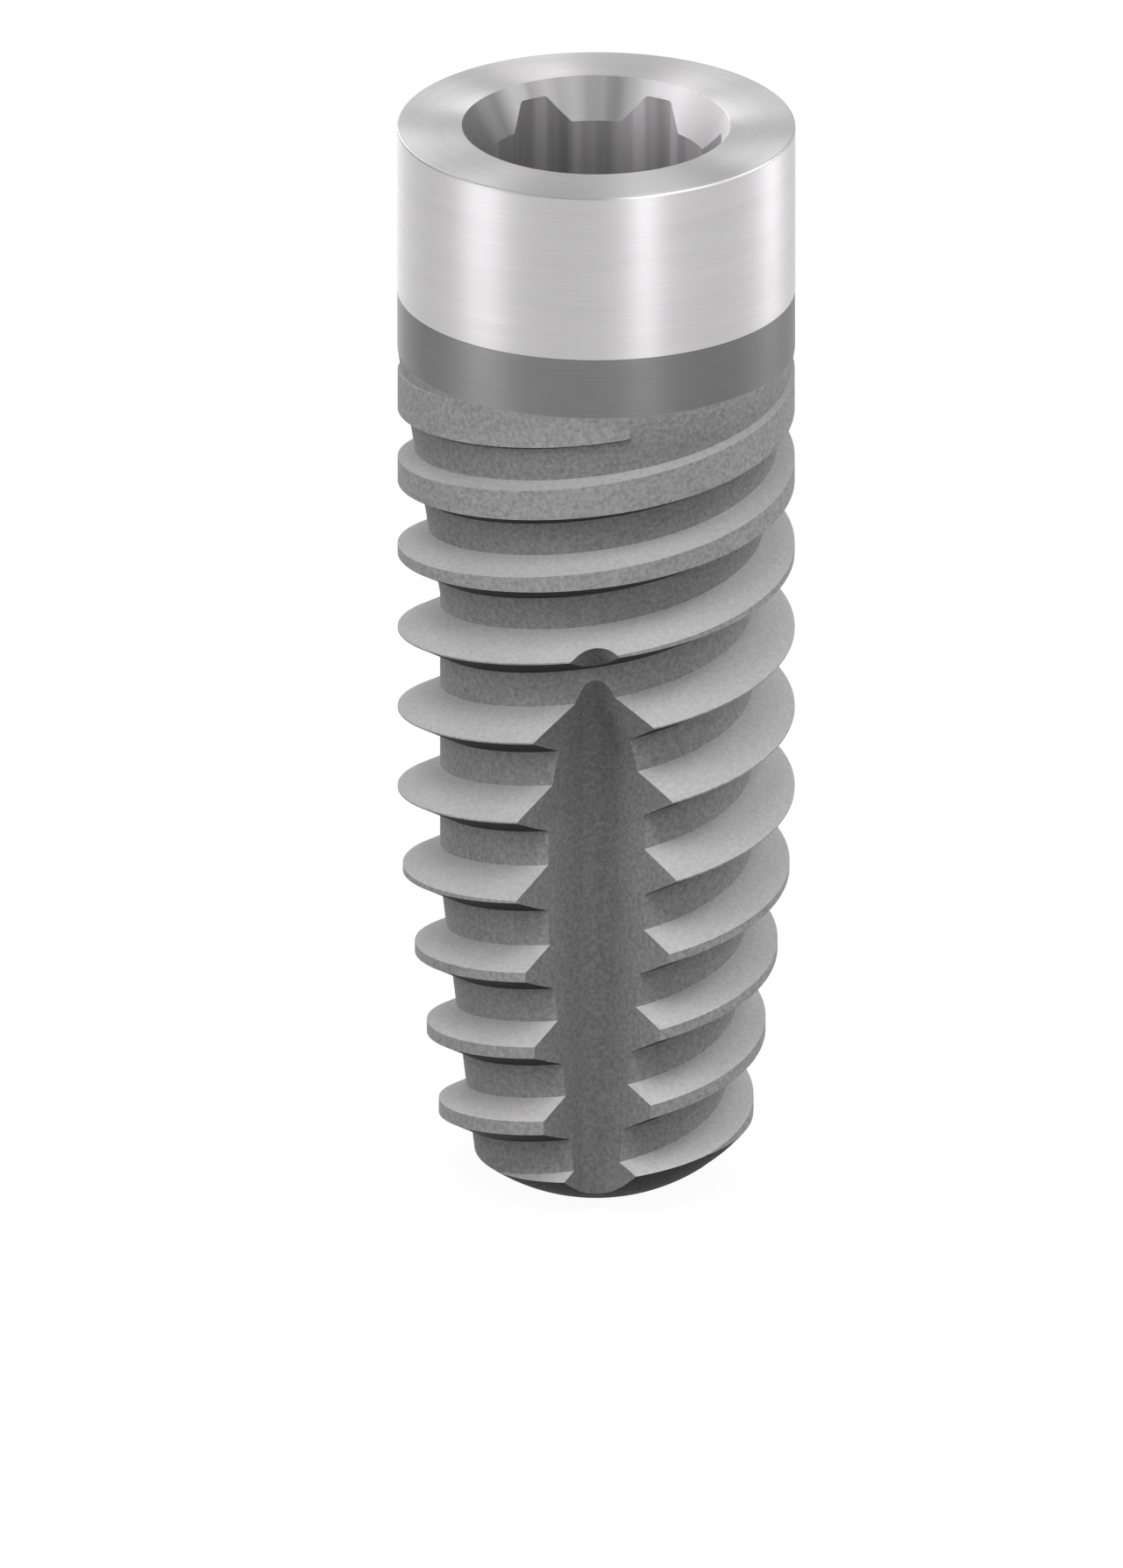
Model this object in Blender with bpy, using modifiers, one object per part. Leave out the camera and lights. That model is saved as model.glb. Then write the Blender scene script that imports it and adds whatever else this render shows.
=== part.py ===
"""Threaded dental implant, 3.5 mm across and 10 mm long.

One turned titanium body: a polished collar with a six-lobed drive socket, a smooth band,
and a blasted bone thread with two starts, cut through by two tapping flutes and closed by
a domed apex. Metres, +Z up along the axis, origin at the centre of the flat on the apex.
Depths are measured down from the platform, the flat ring round the socket.
"""

import math

import bmesh
import bpy
from mathutils import Matrix, Vector

# Overall body
BODY_RADIUS = 0.00175
TIP_DEPTH = 0.010  # where the dome of the apex would close
APEX_FLAT_RADIUS = 0.00064
DOME_RADIUS = 0.00175

# Collar and smooth band
PLATFORM_EDGE_BREAK = 0.00002
COLLAR_DEPTH = 0.00153
BAND_LENGTH = 0.00055
BAND_RECESS = 0.000003  # the etched band lies this far under the polished collar

# Root of the thread: a cone under the band, a parallel stretch, then a slow taper
ROOT_RADIUS = 0.001371
ROOT_CONE_LENGTH = 0.00232
ROOT_TAPER_DEPTH = 0.00707
ROOT_TAPER_ANGLE = math.radians(6.7)

# Thread: two starts, right-handed
THREAD_STARTS = 2
THREAD_PITCH = 0.00075  # from one ridge to the next, so the lead is twice this
THREAD_TOP_DEPTH = 0.00207  # middle of a ridge where it ends in the band
THREAD_TOP_ANGLE = math.radians(280.0)  # 10 degrees past the middle of the front flute
FLANK_ANGLE = math.radians(29.2)  # each flank, from a plane across the axis
CREST_RELIEF = 0.000003  # the crests lie this far under the band
CREST_LAND = 0.000014
CREST_TAPER_DEPTH = 0.00666
CREST_TAPER_ANGLE = math.radians(8.0)

# Flutes: straight V grooves with a round bottom, running out along an arc
FLUTE_COUNT = 2
FLUTE_FLOOR_RADIUS = 0.00097
FLUTE_NOSE_RADIUS = 0.00022
FLUTE_HALF_ANGLE = math.radians(44.4)
FLUTE_RUNOUT_DEPTH = 0.00625
FLUTE_RUNOUT_RADIUS = 0.0032

# Six-lobed socket
MOUTH_RADIUS = 0.001175
MOUTH_CHAMFER_ANGLE = math.radians(60.0)  # down from the platform
SOCKET_DEPTH = 0.0026
LOBE_COUNT = 6
LOBE_RADIUS = 0.001103
LOBE_HALF_ANGLE = math.radians(6.6)
BOSS_RADIUS = 0.000976
BOSS_HALF_ANGLE = math.radians(12.5)
SOCKET_CORNER_RADIUS = 0.00002

# Bore for the retaining screw, under the socket
RELIEF_RADIUS = 0.0008
RELIEF_LENGTH = 0.0004
SCREW_BORE_RADIUS = 0.00062
SCREW_BORE_DEPTH = 0.0061
DRILL_POINT_ANGLE = math.radians(59.0)

# Fineness of the facets
TURN_STEPS = 64
DOME_STEPS = 10
NOSE_STEPS = 6
RUNOUT_STEPS = 10
BOSS_STEPS = 4
LOBE_STEPS = 2
CORNER_STEPS = 2

# Spare material on cutters and buried ends, so that no two faces lie in one plane
SPARE = 0.0002

# Points of the finished mesh closer together than this are one point
SAME_PLACE = 0.000000001

# Dependent sizes
BAND_RADIUS = BODY_RADIUS - BAND_RECESS
CREST_RADIUS = BAND_RADIUS - CREST_RELIEF
BAND_DEPTH = COLLAR_DEPTH + BAND_LENGTH
ROOT_PARALLEL_DEPTH = BAND_DEPTH + ROOT_CONE_LENGTH
RIDGE_HEIGHT = CREST_RADIUS - ROOT_RADIUS
THREAD_LEAD = THREAD_STARTS * THREAD_PITCH
DOME_CENTRE_DEPTH = TIP_DEPTH - DOME_RADIUS
APEX_DEPTH = DOME_CENTRE_DEPTH + math.sqrt(DOME_RADIUS**2 - APEX_FLAT_RADIUS**2)
PLATFORM_HEIGHT = APEX_DEPTH


def height(depth):
    """Height above the apex flat of a point at this depth under the platform."""
    return PLATFORM_HEIGHT - depth


def root_radius(depth):
    """Radius of the thread's root at a depth."""
    cone = (depth - BAND_DEPTH) / ROOT_CONE_LENGTH
    if cone < 1.0:
        return BAND_RADIUS + (ROOT_RADIUS - BAND_RADIUS) * max(cone, 0.0)
    return ROOT_RADIUS - math.tan(ROOT_TAPER_ANGLE) * max(depth - ROOT_TAPER_DEPTH, 0.0)


def crest_radius(depth):
    """Radius of the turned envelope that the ridges reach at a depth."""
    return CREST_RADIUS - math.tan(CREST_TAPER_ANGLE) * max(depth - CREST_TAPER_DEPTH, 0.0)


def clear_scene():
    """Remove every object that the open file holds."""
    for obj in list(bpy.data.objects):
        bpy.data.objects.remove(obj, do_unlink=True)


def new_collection(name):
    """A collection linked to the scene."""
    collection = bpy.data.collections.new(name)
    bpy.context.scene.collection.children.link(collection)
    return collection


def metal(name, colour, roughness):
    """A bare metal finish."""
    material = bpy.data.materials.new(name)
    material.use_nodes = True
    shader = material.node_tree.nodes["Principled BSDF"]
    shader.inputs["Base Color"].default_value = (*colour, 1.0)
    shader.inputs["Metallic"].default_value = 1.0
    shader.inputs["Roughness"].default_value = roughness
    material.diffuse_color = (*colour, 1.0)
    return material


def add_object(name, mesh, collection):
    """An object for a mesh, in a collection."""
    obj = bpy.data.objects.new(name, mesh)
    collection.objects.link(obj)
    return obj


def add_cutter(name, mesh):
    """An object that only shapes another: left out of the render and drawn as wire."""
    obj = add_object(name, mesh, cutters)
    obj.hide_render = True
    obj.display_type = "WIRE"
    return obj


def turn(obj):
    """Turn the object's profile round the Z axis into a solid."""
    screw = obj.modifiers.new("Turning", "SCREW")
    screw.axis = "Z"
    screw.angle = math.tau
    screw.steps = TURN_STEPS
    screw.render_steps = TURN_STEPS
    screw.use_merge_vertices = True
    screw.merge_threshold = 1e-7


def profile_mesh(name, points):
    """An open outline of (radius, height) points at +X, from its top to its bottom."""
    mesh = bpy.data.meshes.new(name)
    edges = [(i, i + 1) for i in range(len(points) - 1)]
    mesh.from_pydata([(radius, 0.0, z) for radius, z in points], edges, [])
    return mesh


def loft(shape, sections):
    """Add a closed solid through sections of equal point count, capped at both ends."""
    rings = [[shape.verts.new(point) for point in section] for section in sections]
    count = len(rings[0])
    for ring, following in zip(rings, rings[1:]):
        for i in range(count):
            j = (i + 1) % count
            shape.faces.new((ring[i], ring[j], following[j], following[i]))
    shape.faces.new(rings[0])
    shape.faces.new(rings[-1])


def to_mesh(shape, name):
    """Turn a finished shape's faces outwards and store it as a mesh."""
    bmesh.ops.recalc_face_normals(shape, faces=shape.faces)
    mesh = bpy.data.meshes.new(name)
    shape.to_mesh(mesh)
    shape.free()
    return mesh


def combine(target, tool, operation):
    """Join, cut or trim the target with a tool."""
    boolean = target.modifiers.new(tool.name, "BOOLEAN")
    boolean.operation = operation
    boolean.solver = "MANIFOLD"  # the exact solver leaves gaps where a ridge meets the root
    boolean.object = tool


# Turned forms


def core_profile():
    """Collar, smooth band and the root of the thread, running on past the apex."""
    foot = APEX_DEPTH + SPARE
    return [
        (0.0, height(0.0)),
        (BODY_RADIUS - PLATFORM_EDGE_BREAK, height(0.0)),
        (BODY_RADIUS, height(PLATFORM_EDGE_BREAK)),
        (BODY_RADIUS, height(COLLAR_DEPTH)),
        (BAND_RADIUS, height(COLLAR_DEPTH + BAND_RECESS)),
        (BAND_RADIUS, height(BAND_DEPTH)),
        (ROOT_RADIUS, height(ROOT_PARALLEL_DEPTH)),
        (ROOT_RADIUS, height(ROOT_TAPER_DEPTH)),
        (root_radius(foot), height(foot)),
        (0.0, height(foot)),
    ]


def dome_profile():
    """The blank that the thread is trimmed to: open-sided above, domed at the apex."""
    outer = BODY_RADIUS + SPARE
    first = math.acos(APEX_FLAT_RADIUS / DOME_RADIUS)
    points = [
        (0.0, height(-SPARE)),
        (outer, height(-SPARE)),
        (outer, height(DOME_CENTRE_DEPTH)),
    ]
    for i in range(DOME_STEPS + 1):
        angle = first * i / DOME_STEPS
        radius = DOME_RADIUS * math.cos(angle)
        depth = DOME_CENTRE_DEPTH + DOME_RADIUS * math.sin(angle)
        points.append((radius, height(depth)))
    points.append((0.0, height(APEX_DEPTH)))
    return points


def bore_profile():
    """Mouth chamfer, relief under the socket and the blind hole for the screw's thread."""
    slope = math.tan(MOUTH_CHAMFER_ANGLE)
    relief_top = (MOUTH_RADIUS - RELIEF_RADIUS) * slope
    relief_foot = SOCKET_DEPTH + RELIEF_LENGTH
    shoulder = (RELIEF_RADIUS - SCREW_BORE_RADIUS) / math.tan(DRILL_POINT_ANGLE)
    point = SCREW_BORE_RADIUS / math.tan(DRILL_POINT_ANGLE)
    return [
        (0.0, height(-SPARE)),
        (MOUTH_RADIUS + SPARE / slope, height(-SPARE)),
        (RELIEF_RADIUS, height(relief_top)),
        (RELIEF_RADIUS, height(relief_foot)),
        (SCREW_BORE_RADIUS, height(relief_foot + shoulder)),
        (SCREW_BORE_RADIUS, height(SCREW_BORE_DEPTH)),
        (0.0, height(SCREW_BORE_DEPTH + point)),
    ]


# Bone thread


def ridge_section(depth, angle):
    """A ridge's section in the half plane at an angle, its foot buried in the core."""
    root = root_radius(depth)
    outer = crest_radius(depth)
    inner = root - SPARE
    flare = math.tan(FLANK_ANGLE)
    at_crest = CREST_LAND / 2 + (RIDGE_HEIGHT - (outer - root)) * flare
    at_foot = CREST_LAND / 2 + (RIDGE_HEIGHT + SPARE) * flare
    corners = [
        (inner, depth - at_foot),
        (outer, depth - at_crest),
        (outer, depth + at_crest),
        (inner, depth + at_foot),
    ]
    return [
        Vector((radius * math.cos(angle), radius * math.sin(angle), height(below)))
        for radius, below in corners
    ]


def thread_mesh():
    """The ridges of all starts, wound down from the band to beyond the dome."""
    shape = bmesh.new()
    travel = TIP_DEPTH + THREAD_PITCH / 2 - THREAD_TOP_DEPTH
    steps = math.ceil(travel / THREAD_LEAD * TURN_STEPS)
    for start in range(THREAD_STARTS):
        first = THREAD_TOP_ANGLE + math.tau * start / THREAD_STARTS
        sections = []
        for i in range(steps + 1):
            turned = i / TURN_STEPS
            depth = THREAD_TOP_DEPTH + THREAD_LEAD * turned
            sections.append(ridge_section(depth, first - math.tau * turned))
        loft(shape, sections)
    return to_mesh(shape, "bone_thread")


# Tapping flutes


def flute_section():
    """The groove's section as (across, outward) points, from its floor to clear of the body."""
    reach = BODY_RADIUS + SPARE - FLUTE_FLOOR_RADIUS
    spread = math.pi / 2 - FLUTE_HALF_ANGLE
    nose = []
    for i in range(NOSE_STEPS + 1):
        angle = spread * (2.0 * i / NOSE_STEPS - 1.0)
        across = FLUTE_NOSE_RADIUS * math.sin(angle)
        outward = FLUTE_NOSE_RADIUS * (1.0 - math.cos(angle))
        nose.append((across, outward))
    edge = nose[-1][0] + (reach - nose[-1][1]) * math.tan(FLUTE_HALF_ANGLE)
    return [(-edge, reach), *nose, (edge, reach)]


def flute_mesh():
    """A straight groove facing -Y, lifting out of the body along an arc at its top."""
    section = flute_section()
    arc_centre = FLUTE_FLOOR_RADIUS + FLUTE_RUNOUT_RADIUS
    rise = BODY_RADIUS + SPARE - FLUTE_FLOOR_RADIUS
    last = math.acos(1.0 - rise / FLUTE_RUNOUT_RADIUS)
    sections = [
        [
            Vector((across, -(FLUTE_FLOOR_RADIUS + outward), height(TIP_DEPTH + SPARE)))
            for across, outward in section
        ]
    ]
    for i in range(RUNOUT_STEPS + 1):
        angle = last * i / RUNOUT_STEPS
        ring = []
        for across, outward in section:
            radius = FLUTE_RUNOUT_RADIUS - outward
            y = -(arc_centre - radius * math.cos(angle))
            z = height(FLUTE_RUNOUT_DEPTH) + radius * math.sin(angle)
            ring.append(Vector((across, y, z)))
        sections.append(ring)
    shape = bmesh.new()
    loft(shape, sections)
    return to_mesh(shape, "flute")


# Six-lobed socket


def arc_points(radius, middle, half_angle, steps):
    """Points along an arc round the axis, as (x, y)."""
    angles = [middle + half_angle * (2.0 * i / steps - 1.0) for i in range(steps + 1)]
    return [(radius * math.cos(angle), radius * math.sin(angle)) for angle in angles]


def socket_mesh():
    """The lobed prism, with a boss facing -Y and its upright corners rounded."""
    outline = []
    for i in range(LOBE_COUNT):
        boss = math.tau * i / LOBE_COUNT - math.pi / 2
        lobe = boss + math.pi / LOBE_COUNT
        outline += arc_points(BOSS_RADIUS, boss, BOSS_HALF_ANGLE, BOSS_STEPS)
        outline += arc_points(LOBE_RADIUS, lobe, LOBE_HALF_ANGLE, LOBE_STEPS)
    sections = [
        [Vector((x, y, height(depth))) for x, y in outline] for depth in (SOCKET_DEPTH, -SPARE)
    ]
    shape = bmesh.new()
    loft(shape, sections)
    bmesh.ops.recalc_face_normals(shape, faces=shape.faces)
    corners = [
        edge
        for edge in shape.edges
        if abs(edge.verts[0].co.z - edge.verts[1].co.z) > SPARE
        and edge.calc_face_angle() > math.radians(30.0)
    ]
    bmesh.ops.bevel(
        shape,
        geom=corners,
        offset=SOCKET_CORNER_RADIUS,
        offset_type="OFFSET",
        segments=CORNER_STEPS,
        profile=0.5,
        affect="EDGES",
    )
    return to_mesh(shape, "drive_socket")


# Finishes


def finish_of(face):
    """Which finish a face has: polished collar and inside, smooth band, blasted thread."""
    depth = PLATFORM_HEIGHT - face.center.z
    outward = Vector((face.center.x, face.center.y, 0.0))
    faces_axis = face.normal.dot(outward.normalized()) < 0.1
    inside = faces_axis and outward.length < MOUTH_RADIUS and depth < APEX_DEPTH - SPARE
    if depth < COLLAR_DEPTH or inside:
        return 0
    return 1 if depth < BAND_DEPTH else 2


def join_points(mesh):
    """Make one point of those that the cuts left on the same place."""
    shape = bmesh.new()
    shape.from_mesh(mesh)
    bmesh.ops.remove_doubles(shape, verts=shape.verts, dist=SAME_PLACE)
    shape.to_mesh(mesh)
    shape.free()


def build_body():
    """The whole implant as one solid."""
    blank = add_cutter("turned_core", profile_mesh("turned_core", core_profile()))
    turn(blank)
    combine(blank, add_cutter("bone_thread", thread_mesh()), "UNION")
    dome = add_cutter("apex_dome", profile_mesh("apex_dome", dome_profile()))
    turn(dome)
    combine(blank, dome, "INTERSECT")
    for i in range(FLUTE_COUNT):
        flute = add_cutter(f"flute_{i + 1}", flute_mesh())
        flute.matrix_world = Matrix.Rotation(math.tau * i / FLUTE_COUNT, 4, "Z")
        combine(blank, flute, "DIFFERENCE")
    socket = add_cutter("drive_socket", socket_mesh())
    combine(blank, socket, "DIFFERENCE")
    bore = add_cutter("screw_bore", profile_mesh("screw_bore", bore_profile()))
    turn(bore)
    combine(blank, bore, "DIFFERENCE")

    bpy.context.view_layer.update()
    evaluated = blank.evaluated_get(bpy.context.evaluated_depsgraph_get())
    mesh = bpy.data.meshes.new_from_object(evaluated)
    mesh.name = "implant_body"
    join_points(mesh)
    body = add_object("implant_body", mesh, parts)
    mesh.materials.clear()
    for finish in FINISHES:
        mesh.materials.append(metal(*finish))
    mesh.shade_smooth()
    mesh.set_sharp_from_angle(angle=math.radians(30.0))
    for face in mesh.polygons:
        face.material_index = finish_of(face)
    return body


FINISHES = [
    ("polished_titanium", (0.72, 0.71, 0.71), 0.25),
    ("etched_titanium", (0.20, 0.20, 0.20), 0.40),
    ("blasted_titanium", (0.30, 0.30, 0.31), 0.60),
]

clear_scene()
parts = new_collection("dental_implant")
cutters = new_collection("cutters")
build_body()
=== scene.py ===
"""Dressed dental implant: one titanium body with a turned collar, an etched band and a blasted
two-start bone thread.

Metres, +Z up along the implant's axis, origin at the centre of the flat on the apex. Depths
are measured down from the platform, the flat ring round the socket.
"""

import math

import bmesh
import bpy
from mathutils import Matrix, Vector


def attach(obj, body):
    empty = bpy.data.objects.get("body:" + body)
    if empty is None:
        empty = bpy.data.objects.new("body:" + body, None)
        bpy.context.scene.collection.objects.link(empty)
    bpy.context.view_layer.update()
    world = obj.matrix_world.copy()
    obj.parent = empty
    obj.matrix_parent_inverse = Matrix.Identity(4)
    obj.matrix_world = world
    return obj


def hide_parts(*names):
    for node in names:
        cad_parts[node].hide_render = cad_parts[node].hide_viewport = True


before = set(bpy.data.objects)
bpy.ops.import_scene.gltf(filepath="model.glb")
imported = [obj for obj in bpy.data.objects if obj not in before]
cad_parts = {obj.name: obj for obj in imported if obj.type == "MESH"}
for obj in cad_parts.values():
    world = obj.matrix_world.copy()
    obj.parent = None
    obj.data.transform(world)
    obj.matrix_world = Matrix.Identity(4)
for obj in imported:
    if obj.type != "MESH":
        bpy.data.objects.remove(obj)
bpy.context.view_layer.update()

# Overall body
BODY_RADIUS = 0.00175
TIP_DEPTH = 0.010  # where the dome of the apex would close
APEX_FLAT_RADIUS = 0.00064
DOME_RADIUS = 0.00175

# Collar and smooth band
PLATFORM_EDGE_BREAK = 0.00002
COLLAR_DEPTH = 0.00153
BAND_LENGTH = 0.00055
BAND_RECESS = 0.000003

# Root of the bone thread
ROOT_RADIUS = 0.001371
ROOT_CONE_LENGTH = 0.00232
ROOT_TAPER_DEPTH = 0.00707
ROOT_TAPER_SLOPE = math.tan(math.radians(6.7))

# Ridges of the bone thread: two starts, right-handed
THREAD_STARTS = 2
THREAD_PITCH = 0.00075
THREAD_TOP_DEPTH = 0.00207
THREAD_TOP_ANGLE = math.radians(280.0)
FLANK_SLOPE = math.tan(math.radians(29.2))
CREST_RELIEF = 0.000003
CREST_LAND = 0.000014
CREST_TAPER_DEPTH = 0.00666
CREST_TAPER_SLOPE = math.tan(math.radians(8.0))

# Tapping flutes
FLUTE_COUNT = 2
FLUTE_FLOOR_RADIUS = 0.00097
FLUTE_NOSE_RADIUS = 0.00022
FLUTE_HALF_ANGLE = math.radians(44.4)
FLUTE_RUNOUT_DEPTH = 0.00625
FLUTE_RUNOUT_RADIUS = 0.0032

# Six-lobed socket
MOUTH_RADIUS = 0.001175
MOUTH_EDGE_BREAK = 0.000006
MOUTH_CHAMFER_SLOPE = math.tan(math.radians(60.0))
SOCKET_DEPTH = 0.0026
LOBE_COUNT = 6
LOBE_RADIUS = 0.001103
LOBE_HALF_ANGLE = math.radians(6.6)
BOSS_RADIUS = 0.000976
BOSS_HALF_ANGLE = math.radians(12.5)
SOCKET_CORNER_RADIUS = 0.00002

# Bore for the retaining screw, with its fine thread
RELIEF_RADIUS = 0.0008
RELIEF_LENGTH = 0.0004
SCREW_BORE_RADIUS = 0.00062
SCREW_BORE_DEPTH = 0.0061
SCREW_THREAD_RADIUS = 0.000795
SCREW_THREAD_PITCH = 0.00035
SCREW_THREAD_LENGTH = 0.0026
SCREW_FLANK_SLOPE = math.tan(math.radians(30.0))
SCREW_THREAD_FOOT = 0.00001  # how far the grooves' foot lies inside the bore's wall
DRILL_POINT_ANGLE = math.radians(59.0)

# How dark the thread's faces are painted, from 0 to 1: painted shade on the roots, flutes,
# undersides and dome, and painted light at the flanks' feet
FLANK_FOOT_PAINTED_SHADE = 0.12
FLANK_CREST_PAINTED_SHADE = 0.215
FLANK_RUNOUT_PAINTED_SHADE = 0.26  # added where the root climbs to the band
LAND_PAINTED_SHADE = 0.31
ROOT_PAINTED_SHADE = 0.395
CONE_PAINTED_SHADE = 0.085  # added half way up the root's cone
FLUTE_PAINTED_SHADE = 0.59
FLUTE_WALL_PAINTED_SHADE = 0.49
FLUTE_PAINTED_LIGHT = 0.08  # painted light: taken off where one side of a flute is painted lighter
# painted shade under the ridges and the dome, which face downwards
UNDERSIDE_PAINTED_SHADE = 0.965
FLANK_GRAIN = 0.4  # strength of the speckle on the flanks, next to 1 on the other faces

# Where those tones change over
FLUTE_WALL_START = 0.7  # in radii of the flute's nose, as the next three
FLUTE_WALL_SPAN = 1.2
FLUTE_PAINTED_LIGHT_MIDDLE = 0.7
FLUTE_PAINTED_LIGHT_REACH = 0.5
DOME_SHADE_START = 0.34  # in radii of the dome, as the next
DOME_SHADE_SPAN = 0.30
LAND_BLEND = 3.5  # power with which the root takes on the land's tone up the cone
CONE_BLEND = 0.6  # power of the cone's own tone, which is full half way up

# Fineness of the facets
TURN_STEPS = 216
DOME_STEPS = 32
NOSE_STEPS = 16
RUNOUT_STEPS = 48
EDGE_STEPS = 4
BOSS_STEPS = 12
LOBE_STEPS = 8
CORNER_STEPS = 6
SCREW_TURN_STEPS = 108
SHARP_ANGLE = math.radians(30.0)

# Small distances
SPARE = 0.0002  # overlap of the shapes that are joined or cut
SAME_PLACE = 0.0000002  # points closer together than this are one point
AXIS_MERGE = 0.00000001  # a turned profile's ends this close to the axis lie on it
FLUTE_FIT = 0.0000015  # the facets of a flute and of the dome lie this close to them
DOME_FIT = 0.000003
TURNED_RELIEF = 0.0000006  # height of the lines that turning and broaching leave
BLASTED_RELIEF = 0.000004

# Dependent sizes
BAND_RADIUS = BODY_RADIUS - BAND_RECESS
CREST_RADIUS = BAND_RADIUS - CREST_RELIEF
BAND_DEPTH = COLLAR_DEPTH + BAND_LENGTH
RIDGE_HEIGHT = CREST_RADIUS - ROOT_RADIUS
THREAD_LEAD = THREAD_STARTS * THREAD_PITCH
DOME_CENTRE_DEPTH = TIP_DEPTH - DOME_RADIUS
APEX_DEPTH = DOME_CENTRE_DEPTH + math.sqrt(DOME_RADIUS**2 - APEX_FLAT_RADIUS**2)
PLATFORM_HEIGHT = APEX_DEPTH

# Camera: parallel view, matched to the outline in the photo
VIEW_ELEVATION = math.radians(21.6)
VIEW_HEIGHT = 0.013764  # of the whole frame
PLATFORM_RIGHT = 0.0003045  # platform's centre from the middle of the frame
PLATFORM_UP = 0.005786
VIEW_DISTANCE = 0.15

# Studio
DOME_LIGHT = 0.3  # of the white background, as light on the object
FLOOR_REACH = 0.4
FLOOR_CARD = 0.06  # share of the light that the floor gives back
FLOOR_WHITE = 0.95  # brightness of the floor where it is seen

# Soft lamps: azimuth from the camera's side and elevation in degrees, distance, width, height,
# brightness, and whether the metal mirrors them
SOFTBOXES = [
    ("overhead", -12.0, 64.0, 0.10, 0.060, 0.050, 5.4, False),
    ("left_strip", -67.3, 22.0, 0.07, 0.029, 0.05, 3.3, True),
    ("front_strip", 27.5, 24.0, 0.07, 0.009, 0.05, 8.0, True),
    ("right_strip", 115.8, 22.0, 0.07, 0.018, 0.05, 5.9, True),
    ("far_strip", -148.0, 22.0, 0.07, 0.010, 0.05, 8.0, True),
    ("right_softbox", 62.0, 58.0, 0.08, 0.052, 0.014, 5.0, True),
    ("back_lamp_1", 172.3, 51.4, 0.06, 0.008, 0.008, 5.2, True),
    ("back_lamp_2", 164.4, 33.8, 0.06, 0.008, 0.008, 5.5, True),
    ("back_lamp_3", -165.9, 26.1, 0.06, 0.008, 0.008, 2.4, True),
    ("back_lamp_4", -165.4, 45.9, 0.06, 0.008, 0.008, 5.8, True),
]


def height(depth):
    """Height above the apex flat of a point at this depth under the platform."""
    return PLATFORM_HEIGHT - depth


def add_object(name, data):
    """An object for a mesh, a lamp or a camera."""
    obj = bpy.data.objects.new(name, data)
    bpy.context.scene.collection.objects.link(obj)
    return obj


# Nodes as Python expressions


class Value:
    """One output of a node, on which the arithmetic signs add Math nodes."""

    def __init__(self, tree, node, output=0):
        self.tree = tree
        self.node = node
        self.socket = node.outputs[output]

    def output(self, name):
        """Another output of the same node."""
        return Value(self.tree, self.node, name)

    def math(self, operation, *others):
        """This value and others through a Math node."""
        return self.tree.math(operation, self, *others)

    def __add__(self, other):
        return self.math("ADD", other)

    def __sub__(self, other):
        return self.math("SUBTRACT", other)

    def __mul__(self, other):
        return self.math("MULTIPLY", other)

    def __truediv__(self, other):
        return self.math("DIVIDE", other)

    def __radd__(self, other):
        return self.tree.math("ADD", other, self)

    def __rsub__(self, other):
        return self.tree.math("SUBTRACT", other, self)

    def __rmul__(self, other):
        return self.tree.math("MULTIPLY", other, self)

    def __rtruediv__(self, other):
        return self.tree.math("DIVIDE", other, self)

    def at_least(self, other):
        """The larger of this and another value."""
        return self.math("MAXIMUM", other)

    def at_most(self, other):
        """The smaller of this and another value."""
        return self.math("MINIMUM", other)


class Tree:
    """A node tree that is written as calls and expressions."""

    def __init__(self, tree):
        self.tree = tree
        tree.nodes.clear()

    def node(self, kind, settings=None, values=None, output=0):
        """Add a node: its settings first, then the values or links of its sockets."""
        node = self.tree.nodes.new(kind)
        for name, setting in (settings or {}).items():
            if name == "stops":
                self.set_stops(node.color_ramp, setting)
            else:
                setattr(node, name, setting)
        for name, value in (values or {}).items():
            if isinstance(value, Value):
                self.tree.links.new(value.socket, node.inputs[name])
            else:
                node.inputs[name].default_value = value
        return Value(self, node, output) if node.outputs else node

    def set_stops(self, ramp, stops):
        """Give a colour ramp its stops, as (place, grey)."""
        while len(ramp.elements) < len(stops):
            ramp.elements.new(1.0)
        for element, (place, grey) in zip(ramp.elements, stops):
            element.position = place
            element.color = (grey, grey, grey, 1.0)

    def math(self, operation, *values):
        """A Math node."""
        return self.node("ShaderNodeMath", {"operation": operation}, dict(enumerate(values)))

    def vector_math(self, operation, *values):
        """A Vector Math node."""
        return self.node("ShaderNodeVectorMath", {"operation": operation}, dict(enumerate(values)))

    def scaled(self, vector, x, y, z):
        """A vector with its parts multiplied."""
        return self.vector_math("MULTIPLY", vector, (x, y, z))

    def combine(self, x=0.0, y=0.0, z=0.0):
        """A vector from three numbers."""
        return self.node("ShaderNodeCombineXYZ", None, {"X": x, "Y": y, "Z": z})

    def mix(self, factor, first, second):
        """A colour between two others."""
        settings = {"data_type": "RGBA"}
        return self.node("ShaderNodeMix", settings, {0: factor, 6: first, 7: second}, output=2)

    def noise(self, place, scale, detail=2.0, roughness=0.5):
        """Fractal noise from 0 to 1."""
        values = {"Vector": place, "Scale": scale, "Detail": detail, "Roughness": roughness}
        return self.node("ShaderNodeTexNoise", None, values)

    def ramp(self, value, *stops):
        """A value passed through a ramp of (place, grey) stops."""
        return self.node("ShaderNodeValToRGB", {"stops": stops}, {"Fac": value})

    def attribute(self, name):
        """One of the mesh's own values."""
        return self.node("ShaderNodeAttribute", {"attribute_name": name}).output("Fac")

    def bump(self, strength, distance, height):
        """A normal that follows a height."""
        values = {"Strength": strength, "Distance": distance, "Height": height}
        return self.node("ShaderNodeBump", None, values)


# Camera, floor and lights


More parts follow.
